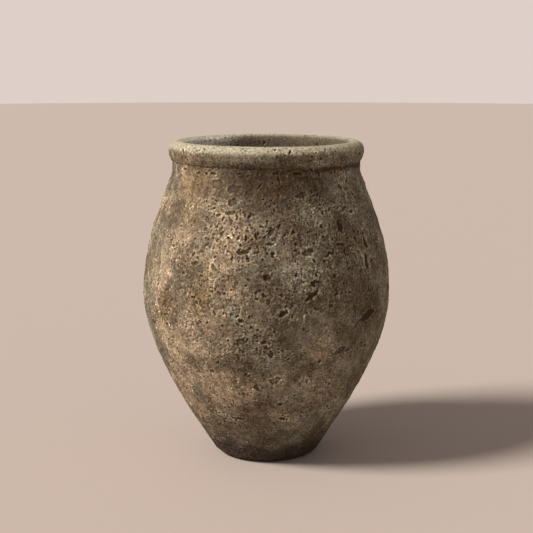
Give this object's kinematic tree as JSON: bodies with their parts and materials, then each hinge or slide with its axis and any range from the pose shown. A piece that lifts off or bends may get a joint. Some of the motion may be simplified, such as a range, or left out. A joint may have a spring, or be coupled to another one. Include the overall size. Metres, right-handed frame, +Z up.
{
  "type": "amphora jar planter",
  "caption": "Tall footless oil-jar planter with a swollen belly, rolled rim, wide open mouth and a drain hole in its flat base.",
  "frame": {"origin": "centre of the flat face that the jar stands on", "axes": "+Z up along the jar's axis; the jar is round, so X and Y are any two level directions"},
  "size_m": [0.381, 0.381, 0.49],
  "materials": {
    "pitted_clay": "matt volcanic crust, pitted and cratered, brown with pale and ochre patches",
    "worn_rim": "matt fired clay, pale where worn, finely pitted",
    "stained_foot": "matt fired clay, stained dark by damp",
    "inside_clay": "matt unglazed clay with throwing marks"
  },
  "bodies": {
    "root": {"base_slab": "stained_foot", "corner_coil": "inside_clay", "foot_course": "pitted_clay", "lower_course": "pitted_clay", "lower_belly_course": "pitted_clay", "upper_belly_course": "pitted_clay", "shoulder_course": "pitted_clay", "neck_course": "pitted_clay", "rim_roll": "worn_rim"}
  },
  "joints": []
}
